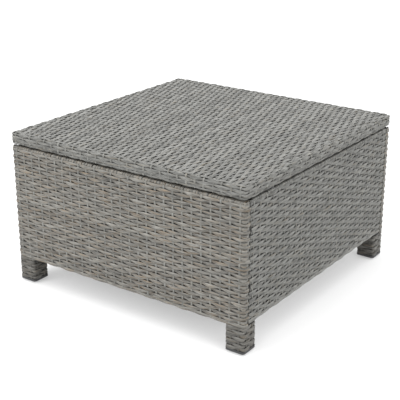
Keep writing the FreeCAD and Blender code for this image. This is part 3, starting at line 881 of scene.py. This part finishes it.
@dataclass
class Panel:
    """One upright woven side: rows that wrap both its ends, stakes, and a bound upper edge.

    It is laid out as the front panel and turned to its own place.
    """

    name: str
    node: str
    facing: Facing
    half_length: float
    face: float
    low: float
    high: float
    thick: float
    corner: float
    under_half: float
    sleeve_heights: tuple[float, float]
    edge_stakes: bool
    end_margin: float
    seed: int
    tone: Tone
    hand: WeaveHand = field(default_factory=WeaveHand)
    layer: float = 3.2 * MM
    inner_corner: float = 1.6 * MM
    edge_corner: float = 2.0 * MM
    tuck: float = 14.0 * MM
    back_run: float = 10.0 * MM
    binding: float = 6.5 * MM
    row_pitch: float = 8.7 * MM
    stake_pitch: float = 26.4 * MM
    sleeve_radius: float = 6.3 * MM
    strap_gap: float = 1.5 * MM
    strap_lines: int = 12
    edge_play: float = 0.35
    stake_tuck: float = 0.7 * MM
    winding: BindingHand = field(default_factory=BindingHand)
    edges: tuple[float, ...] = ()

    def __post_init__(self) -> None:
        """Works out the surface and the places of rows and stakes."""
        half = self.layer / 2
        radius = self.corner - half
        back = -(self.face - self.thick + half)
        tuck_run = self.tuck - half - self.inner_corner
        end_run = self.thick - half - self.inner_corner - self.corner
        face_run = 2 * (self.half_length - self.corner)
        turn = bend(self.inner_corner)
        self.plan = Track(
            (-(self.half_length - self.tuck), back), math.pi,
            [(tuck_run, 0.0), turn, (end_run, 0.0), bend(radius), (face_run, 0.0), bend(radius),
             (end_run, 0.0), turn, (tuck_run, 0.0)],
        )
        self.face_start = float(self.plan.knots[4])
        edge = self.edge_corner
        under_run = self.thick - 2 * half - 2 * edge
        rise = self.high - self.low - half - edge
        self.profile = Track(
            (-(self.thick - 2 * half), self.low + half + edge + self.back_run), -QUARTER,
            [(self.back_run, 0.0), bend(edge), (under_run, 0.0), bend(edge), (rise, 0.0)],
        )
        self.face_up = float(self.profile.knots[4]) - half - edge
        self.surface = Surface(self.plan, self.profile)
        upright = Track((0.0, self.low - self.face_up), QUARTER, [(self.high - self.low + self.face_up, 0.0)])
        self.upright = Surface(self.plan, upright)
        woven = self.high - self.binding - self.low
        count = round(woven / self.row_pitch)
        pitch = woven / count
        self.under_rows = math.ceil((self.face_up - pitch) / pitch)
        numbers = np.arange(-self.under_rows, count)
        self.rows = self.face_up + (numbers + 0.5) * pitch
        span = 2 * (self.half_length - self.end_margin)
        stake_count = round(span / self.stake_pitch) + 1
        first = self.face_start + self.end_margin - self.corner
        self.stakes = first + np.linspace(0.0, span, stake_count)
        crossings = self.stakes
        held = ()
        if self.edge_stakes:
            outermost = float(self.plan.knots[2]) + STAKE.width / 2
            corner = (self.face_start + float(self.plan.knots[3])) / 2
            total = self.plan.length
            self.edges = (outermost, total - outermost)
            crossings = np.array((outermost, corner, *self.stakes, total - corner, total - outermost))
            held = (corner, total - corner)
        self.field = WovenField(self.surface, self.rows, crossings, np.random.default_rng(self.seed),
                                self.hand, held=held)

    def row_span(self, row: int) -> tuple[float, float]:
        """Where a row starts and ends along the outline.

        Args:
            row: Its number, from the lowest up.

        Returns:
            The two distances. A row beside a spacer sleeve stops short of it.
        """
        if row < self.under_rows:
            middle = self.plan.length / 2
            return middle - self.under_half, middle + self.under_half
        height = self.low + float(self.rows[row]) - self.face_up
        clear = self.sleeve_radius + WEAVER.width / 2
        if any(abs(height - sleeve) < clear for sleeve in self.sleeve_heights):
            start = float(self.plan.knots[1 if self.edge_stakes else 4])
            return start, self.plan.length - start
        return 0.0, self.plan.length

    def weave_rows(self) -> StrandSet:
        """Lays the weavers."""
        made = StrandSet(f"{self.name}_rows", WEAVER, self.seed, self.facing)
        for row in range(len(self.rows)):
            start, end = self.row_span(row)
            stations = self.plan.stations(start, end, WEAVER.step, WEAVER.bend_step)
            surface = self.surface if row < self.under_rows else self.upright
            play = self.edge_play if row <= self.under_rows else 1.0
            made.lay(stations, self.field.weaver(row, surface, play=play), row)
        return made

    def weave_stakes(self) -> StrandSet:
        """Lays the stakes, up from behind the lower edge and in under the binding."""
        made = StrandSet(f"{self.name}_stakes", STAKE, self.seed + 500, self.facing)
        end = float(self.rows[-1]) + self.row_pitch
        middle = self.plan.length / 2

        def tuck_in(along: np.ndarray, across: np.ndarray) -> np.ndarray:
            """Sinks the stake's end under the binding."""
            return -self.stake_tuck * smooth_step(along, end - self.row_pitch, end)

        for number, place in enumerate(self.field.stakes):
            if place not in self.stakes and place not in self.edges:
                continue
            inside = abs(place - middle) < self.under_half
            start = 0.0 if inside else self.face_up + self.edge_corner
            stations = self.profile.stations(start, end, STAKE.step, STAKE.bend_step)
            made.lay(stations, self.field.stake(number, tuck_in), number)
        return made

    def back_stakes(self) -> StrandSet:
        """Lays a broad flat strap behind each stake, which closes the weave against the light. Its near-black
        colour is painted shade inside the table.
        """
        made = StrandSet(f"{self.name}_straps", STRAP, self.seed + 900, self.facing)
        start = self.face_up + self.edge_corner
        stations = np.linspace(start, float(self.rows[-1]), self.strap_lines)
        for number, place in enumerate(self.stakes):
            depth = -self.layer / 2 - self.strap_gap - STRAP.thick * (number % 2)

            def bend_strip(along: np.ndarray, across: np.ndarray, place: float = place,
                           depth: float = depth) -> np.ndarray:
                """Points of the strap, flat at its own depth."""
                side = place - across * STRAP.width
                return self.upright.at(side, along, np.full_like(along, depth))

            made.lay(stations, bend_strip, number)
        return made

    def bind_edge(self) -> StrandSet:
        """Winds a leaning strand over the top rail, turn by turn."""
        made = StrandSet(f"{self.name}_binding", BINDER, self.seed + 700, self.facing)
        winding = self.winding
        rng = np.random.default_rng(self.seed + 9)
        half = self.layer / 2
        edge = self.edge_corner
        face_run = self.binding + winding.overrun - half - edge
        deep = self.thick - 2 * half - 2 * edge
        path = Track((0.0, self.high - half - edge - face_run), QUARTER,
                     [(face_run, 0.0), bend(edge), (deep, 0.0), bend(edge), (self.binding, 0.0)])
        surface = Surface(self.plan, path)
        first = float(self.plan.knots[2]) + winding.end_gap
        last = self.plan.length - first
        count = round((last - first) / winding.pitch)
        pitch = (last - first) / count
        flat_low = self.face_start + BINDER.width / 2
        flat_high = self.plan.length - flat_low
        for number in range(count):
            middle = first + (number + 0.5) * pitch + float(rng.normal(0.0, winding.scatter))
            whole = flat_low < middle < flat_high
            end = path.length if whole else float(path.knots[1]) + edge
            lean = winding.lean + float(rng.normal(0.0, winding.lean_scatter))
            leaning = face_run + (deep if whole else 0.0)
            lift = float(rng.normal(0.0, winding.lift_scatter))

            def bend_strip(along: np.ndarray, across: np.ndarray, middle: float = middle, lean: float = lean,
                           lift: float = lift, leaning: float = leaning) -> np.ndarray:
                """Points of one turn, which starts tucked in behind the stakes."""
                crown = BINDER.crown * (1.0 - 4.0 * across**2)
                tucked = winding.tuck_depth * (1.0 - smooth_step(along, 0.0, winding.tuck_run))
                height = BINDER.thick / 2 + crown + winding.lift + lift - tucked
                side = middle + lean * (np.minimum(along, leaning) - face_run / 2)
                if flat_low < middle < flat_high:
                    side = np.clip(side, flat_low, flat_high)
                return surface.at(side - across * BINDER.width, along, height)

            stations = path.stations(0.0, end, BINDER.step, BINDER.bend_step)
            made.lay(stations, bend_strip, number)
        return made

    def build(self, finishes: Finishes) -> None:
        """Makes the rows, binding, stakes and straps in place of the panel's plain layer.

        Args:
            finishes: The table's finishes.
        """
        # The stakes take the lighter stake copy, which is a painted highlight. The straps take the near-black
        # lining copy, which is painted shade.
        tone_layers = ((self.weave_rows, self.tone), (self.bind_edge, self.tone),
                (self.weave_stakes, Tone.STAKE), (self.back_stakes, Tone.SHADE_LINING))
        for lay_strands, tone in tone_layers:
            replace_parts(lay_strands().piece(finishes.wicker[tone]), self.node)


# ---- Legs ------------------------------------------------------------------------------------

def round_square(half: float, radius: float, centre: tuple[float, float] = (0.0, 0.0)) -> Track:
    """A closed outline, from the left end of its front side and round to the right.

    Args:
        half: Half its side.
        radius: Radius of its corners.
        centre: Its middle.

    Returns:
        The outline.
    """
    side = 2 * (half - radius)
    start = (centre[0] - half + radius, centre[1] - half)
    return Track(start, 0.0, [(side, 0.0), bend(radius)] * 4, closed=True)


@dataclass
class Leg:
    """The woven sleeve of one leg."""

    node: str
    centre: tuple[float, float]
    side: float
    low: float
    high: float
    seed: int
    corner: float = 6.5 * MM
    layer: float = 3.2 * MM
    row_count: int = 7
    stakes_per_side: int = 2
    lap: float = 2.0 * MM
    end_gap: float = 0.3 * MM

    def build(self, finishes: Finishes) -> None:
        """Makes the sleeve's rows and stakes in place of its plain layer.

        Args:
            finishes: The table's finishes.
        """
        half = self.layer / 2
        plan = round_square(self.side / 2 - half, self.corner - half, self.centre)
        profile = Track((0.0, self.low), QUARTER, [(self.high - self.low, 0.0)])
        pitch = profile.length / self.row_count
        rows = (np.arange(self.row_count) + 0.5) * pitch
        count = 4 * self.stakes_per_side
        spacing = plan.length / count
        first = plan.runs[0][0] / 2 - spacing / 2
        stakes = first + np.arange(2 * count + 2) * spacing
        woven = WovenField(Surface(plan, profile), rows, stakes, np.random.default_rng(self.seed),
                           open_ends=False)
        sleeve = StrandSet(f"{self.node}_rows", WEAVER, self.seed)
        for row in range(self.row_count):
            start = first + spacing * ((row + 1) % 2 + 2 * (row % 4))
            stations = plan.stations(start, start + plan.length + self.lap, WEAVER.step, WEAVER.bend_step)
            sleeve.lay(stations, woven.weaver(row), row)
        uprights = StrandSet(f"{self.node}_stakes", STAKE, self.seed + 50)
        end = profile.length - self.end_gap
        for number in range(count):
            stations = profile.stations(self.end_gap, end, STAKE.step, STAKE.bend_step)
            uprights.lay(stations, woven.stake(number), number)
        # The leg copy's darker colour is painted shade.
        for strands in (sleeve, uprights):
            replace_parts(strands.piece(finishes.wicker[Tone.SHADED_LEG]), self.node)


# ---- Top -------------------------------------------------------------------------------------

@dataclass
class TopSheet:
    """The woven sheet of the top, inside its border."""

    half: float
    high: float
    seed: int
    layer: float = 3.2 * MM
    overlap: float = 3.0 * MM
    row_pitch: float = 8.45 * MM
    stake_pitch: float = 26.5 * MM
    strap_gap: float = 0.6 * MM
    edge_dive: float = 1.1 * MM
    dive_from: float = 0.5 * MM
    dive_to: float = 7.0 * MM

    def build(self, finishes: Finishes) -> None:
        """Makes the weavers in two halves, the stakes and the straps, in place of the plain sheet.

        Args:
            finishes: The table's finishes.
        """
        reach = self.half + self.overlap
        level = self.high - self.layer / 2
        plan = Track((0.0, -reach), QUARTER, [(2 * reach, 0.0)])
        profile = Track((reach, level), math.pi, [(2 * reach, 0.0)])
        row_count = round(2 * self.half / self.row_pitch)
        row_pitch = 2 * self.half / row_count
        rows = self.overlap + (np.arange(row_count) + 0.5) * row_pitch
        stake_count = round(2 * self.half / self.stake_pitch)
        stake_pitch = 2 * self.half / stake_count
        stakes = self.overlap + (np.arange(stake_count) + 0.5) * stake_pitch
        woven = WovenField(Surface(plan, profile), rows, stakes, np.random.default_rng(self.seed),
                           open_ends=False)

        def dive(along: np.ndarray, across: np.ndarray) -> np.ndarray:
            """Sinks the strands' ends under the border."""
            inside = np.minimum(along, 2 * reach - along)
            return -self.edge_dive * (1.0 - smooth_step(inside, self.dive_from, self.dive_to))

        # The top's copy is a little lighter than the sides': painted light.
        middle = row_count // 2
        for name, numbers in (("right", range(middle)), ("left", range(middle, row_count))):
            weavers = StrandSet(f"top_weavers_{name}", WEAVER, self.seed)
            for row in numbers:
                stations = plan.stations(0.0, plan.length, WEAVER.step, WEAVER.bend_step)
                weavers.lay(stations, woven.weaver(row, dive=dive), row)
            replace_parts(weavers.piece(finishes.wicker[Tone.TOP]), "top_weave")
        stake_set = StrandSet("top_stakes", STAKE, self.seed + 500)
        for number in range(stake_count):
            stations = profile.stations(0.0, profile.length, STAKE.step, STAKE.bend_step)
            stake_set.lay(stations, woven.stake(number, dive), number)
        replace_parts(stake_set.piece(finishes.wicker[Tone.TOP]), "top_weave")
        # The straps under the top take the near-black lining copy: painted shade inside the table.
        straps = StrandSet("top_straps", STRAP, self.seed + 900)
        depth = -self.layer / 2 - self.strap_gap
        for number, place in enumerate(stakes):

            def bend_strip(along: np.ndarray, across: np.ndarray, place: float = float(place)) -> np.ndarray:
                """Points of the strap, flat below the weave."""
                side = place - across * STRAP.width
                return woven.surface.at(side, along, np.full_like(along, depth))

            ends = np.array((self.overlap, profile.length - self.overlap))
            straps.lay(ends, bend_strip, number)
        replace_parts(straps.piece(finishes.wicker[Tone.SHADE_LINING]), "top_weave")


@dataclass
class TopRim:
    """The woven edge of the top: from its underside, up its side and over on to the sheet."""

    half: float
    low: float
    high: float
    border: float
    seed: int
    corner: float = 6.0 * MM
    arris: float = 5.0 * MM
    layer: float = 3.5 * MM
    low_edge: float = 2.0 * MM
    tightest: float = 4.6 * MM
    under_reach: float = 26.0 * MM
    row_pitch: float = 8.2 * MM
    stakes_per_side: int = 29
    stake_pitch: float = 24.2 * MM
    width_share: float = 0.93
    edge_play: float = 0.5
    lap: float = 2.0 * MM
    corner_gap: float = 5.0 * MM
    end_gap: float = 0.5 * MM

    def outline(self, inset: float) -> Track:
        """The rim's outline, drawn in by an inset."""
        half = self.layer / 2
        radius = max(self.corner - half - inset, self.tightest)
        return round_square(self.half - half - inset, radius)

    def build(self, finishes: Finishes) -> None:
        """Makes the rim's rows and stakes in place of its plain layer.

        Args:
            finishes: The table's finishes.
        """
        half = self.layer / 2
        arris = self.arris - half
        profile = Track(
            (-self.under_reach, self.low + half), 0.0,
            [(self.under_reach - self.low_edge, 0.0), bend(self.low_edge),
             (self.high - self.low - 2 * half - self.low_edge - arris, 0.0), bend(arris),
             (self.border - half - arris, 0.0)],
        )
        count = int(profile.length / self.row_pitch)
        rows = profile.length - (np.arange(count)[::-1] + 0.5) * self.row_pitch
        rng = np.random.default_rng(self.seed)
        offsets = (np.arange(self.stakes_per_side) - (self.stakes_per_side - 1) / 2) * self.stake_pitch
        outer = self.outline(0.0)
        edge_rows = StrandSet("top_rim_rows", WEAVER, self.seed)
        for row in range(count):
            place, _ = profile.at(rows[row:row + 1])
            inset = -float(place[0, 0])
            plan = self.outline(inset)
            near = self.half - inset - self.corner_gap
            stakes = self.places(plan, offsets[np.abs(offsets) < near])
            woven = WovenField(Surface(plan, profile, -inset), rows, stakes, rng, open_ends=False,
                               width_share=self.width_share)
            start = float(stakes[(row + 1) % 2 + 2 * row])
            stations = plan.stations(start, start + plan.length + self.lap, WEAVER.step, WEAVER.bend_step)
            play = self.edge_play if abs(rows[row] - self.under_reach) < self.row_pitch else 1.0
            edge_rows.lay(stations, woven.weaver(row, play=play), row)
        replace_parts(edge_rows.piece(finishes.wicker[Tone.TOP]), "top_rim_weave")
        stakes = self.places(outer, offsets)
        woven = WovenField(Surface(outer, profile), rows, stakes, rng, open_ends=False)
        stake_set = StrandSet("top_rim_stakes", STAKE, self.seed + 500)
        for number in range(4 * self.stakes_per_side):
            offset = abs(float(offsets[number % self.stakes_per_side]))
            start = max(0.0, self.under_reach - (self.half - offset) + half)
            end = profile.length - self.end_gap
            stations = profile.stations(start, end, STAKE.step, STAKE.bend_step)
            stake_set.lay(stations, woven.stake(number), number)
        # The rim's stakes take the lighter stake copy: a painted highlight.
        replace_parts(stake_set.piece(finishes.wicker[Tone.STAKE]), "top_rim_weave")

    def places(self, plan: Track, offsets: np.ndarray) -> np.ndarray:
        """Where the stakes fall on an outline, for two laps and one side more.

        Args:
            plan: The outline.
            offsets: Distances of the stakes from the middle of each side.

        Returns:
            Rising distances along the outline.
        """
        side = plan.length / 4
        middle = plan.runs[0][0] / 2
        return np.concatenate([middle + number * side + offsets for number in range(2 * 4 + 1)])


# ---- Studio ----------------------------------------------------------------------------------

@dataclass(frozen=True)
class Softbox:
    """A square lamp that looks at the table."""

    name: str
    place: tuple[float, float, float]
    size: float
    watts: float
    aim: tuple[float, float, float] = (0.0, 0.0, 0.2)

    def hang(self) -> None:
        """Makes the lamp."""
        lamp = bpy.data.lights.new(self.name, "AREA")
        lamp.shape = "SQUARE"
        lamp.size = self.size
        lamp.energy = self.watts
        softbox = bpy.data.objects.new(self.name, lamp)
        softbox.location = self.place
        look = Vector(self.aim) - softbox.location
        softbox.rotation_mode = "QUATERNION"
        softbox.rotation_quaternion = look.to_track_quat("-Z", "Y")
        bpy.context.scene.collection.objects.link(softbox)


@dataclass
class Studio:
    """White floor, soft light and the camera."""

    lens: float = 86.6
    azimuth_degrees: float = 35.67
    elevation_degrees: float = 20.82
    roll_degrees: float = -0.01
    place: tuple[float, float, float] = (1.3935, -1.9707, 1.1125)
    sky: float = 1.7
    softboxes: tuple[Softbox, ...] = (
        Softbox("overhead_softbox", (-0.3, -0.5, 2.6), 3.0, 45.0),
        Softbox("front_softbox", (-1.3, -2.9, 1.25), 2.2, 62.0),
        Softbox("right_softbox", (3.1, -0.3, 1.25), 2.2, 50.0),
    )
    floor_size: float = 30.0
    sensor_width: float = 36.0

    def build(self) -> None:
        """Sets up the whole studio."""
        self.lay_floor()
        self.light()
        self.set_camera()
        bpy.context.scene.view_settings.view_transform = "Standard"

    def lay_floor(self) -> None:
        """A flat white floor under the feet."""
        sheet = bmesh.new()
        bmesh.ops.create_grid(sheet, x_segments=4, y_segments=4, size=self.floor_size / 2)
        mesh = bpy.data.meshes.new("studio_floor")
        sheet.to_mesh(mesh)
        sheet.free()
        mesh.materials.append(StudioFloor().material())
        floor = bpy.data.objects.new("studio_floor", mesh)
        bpy.context.scene.collection.objects.link(floor)
        floor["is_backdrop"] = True

    def light(self) -> None:
        """An even white surround and the lamps."""
        world = bpy.data.worlds.new("studio_surround")
        world.use_nodes = True
        shade = world.node_tree.nodes["Background"]
        shade.inputs["Color"].default_value = (1.0, 1.0, 1.0, 1.0)
        shade.inputs["Strength"].default_value = self.sky
        bpy.context.scene.world = world
        for softbox in self.softboxes:
            softbox.hang()

    def set_camera(self) -> None:
        """A long lens, to the right of the front and a little above the table."""
        data = bpy.data.cameras.new("camera")
        data.lens = self.lens
        data.sensor_width = self.sensor_width
        camera = bpy.data.objects.new("camera", data)
        turn = math.radians(self.azimuth_degrees)
        rise = math.radians(self.elevation_degrees)
        back = Vector((math.sin(turn) * math.cos(rise), -math.cos(turn) * math.cos(rise), math.sin(rise)))
        look = (-back).to_track_quat("-Z", "Y")
        roll = Quaternion((0.0, 0.0, 1.0), math.radians(self.roll_degrees))
        camera.rotation_mode = "QUATERNION"
        camera.rotation_quaternion = look @ roll
        camera.location = self.place
        bpy.context.scene.collection.objects.link(camera)
        bpy.context.scene.camera = camera


# ---- Assembly --------------------------------------------------------------------------------

def woven_sides() -> list[Panel]:
    """The four panels, sized from the frame's plain layers."""
    end_low, end_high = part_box("front_weave")
    side_low, side_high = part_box("right_weave")
    leg_low, leg_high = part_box("leg_weave_front_right")
    sleeve_low, sleeve_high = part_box("side_spacers")
    sleeves = (sleeve_low.z + SPACER_RADIUS, sleeve_high.z - SPACER_RADIUS)
    between_legs = leg_low.x
    # The front and back take the warm copy, which is lighter than the sides' cool copy: painted light.
    ends = [
        Panel(name=f"{name}_panel", node=f"{name}_weave", facing=facing, half_length=end_high.x,
              face=-end_low.y, low=end_low.z, high=end_high.z, thick=end_high.y - end_low.y,
              corner=6.5 * MM, under_half=between_legs - 1.0 * MM, sleeve_heights=sleeves,
              edge_stakes=True, end_margin=15.0 * MM, seed=seed, tone=Tone.WARM)
        for name, facing, seed in (("front", Facing.FRONT, 11), ("back", Facing.BACK, 23))
    ]
    sides = [
        Panel(name=f"{name}_panel", node=f"{name}_weave", facing=facing, half_length=side_high.y,
              face=side_high.x, low=side_low.z, high=side_high.z, thick=side_high.x - side_low.x,
              corner=3.5 * MM, under_half=side_high.y - 16.0 * MM, sleeve_heights=sleeves,
              edge_stakes=False, end_margin=14.0 * MM, seed=seed, tone=Tone.COOL,
              hand=WeaveHand(rise=1.35 * MM, pinch=0.5))
        for name, facing, seed in (("right", Facing.RIGHT, 37), ("left", Facing.LEFT, 41))
    ]
    return ends + sides


def legs() -> list[Leg]:
    """The four legs, sized from the frame's plain sleeves."""
    made = []
    for number, corner in enumerate(("front_left", "front_right", "back_left", "back_right")):
        node = f"leg_weave_{corner}"
        low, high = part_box(node)
        centre = ((low.x + high.x) / 2, (low.y + high.y) / 2)
        made.append(Leg(node, centre, high.x - low.x, low.z, high.z, LEG_SEED + number))
    return made


def main() -> None:
    """Builds the table's looks and the studio round the frame."""
    logging.basicConfig(level=logging.INFO, format="%(message)s")
    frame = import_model()
    frame_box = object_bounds()
    finishes = Finishes().build()
    finishes.dress(frame)
    for panel in woven_sides():
        panel.build(finishes)
    for leg in legs():
        leg.build(finishes)
    sheet_low, sheet_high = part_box("top_weave")
    TopSheet(sheet_high.x, sheet_high.z, SHEET_SEED).build(finishes)
    rim_low, rim_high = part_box("top_rim_weave")
    border = rim_high.x - sheet_high.x
    TopRim(rim_high.x, rim_low.z, rim_high.z, border, RIM_SEED).build(finishes)
    Studio().build()
    looks_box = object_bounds()
    sizes = {"frame": [list(corner) for corner in frame_box], "looks": [list(corner) for corner in looks_box]}
    LOG.info("frame %s, looks %s", sizes["frame"], sizes["looks"])


if __name__ == "__main__":
    main()
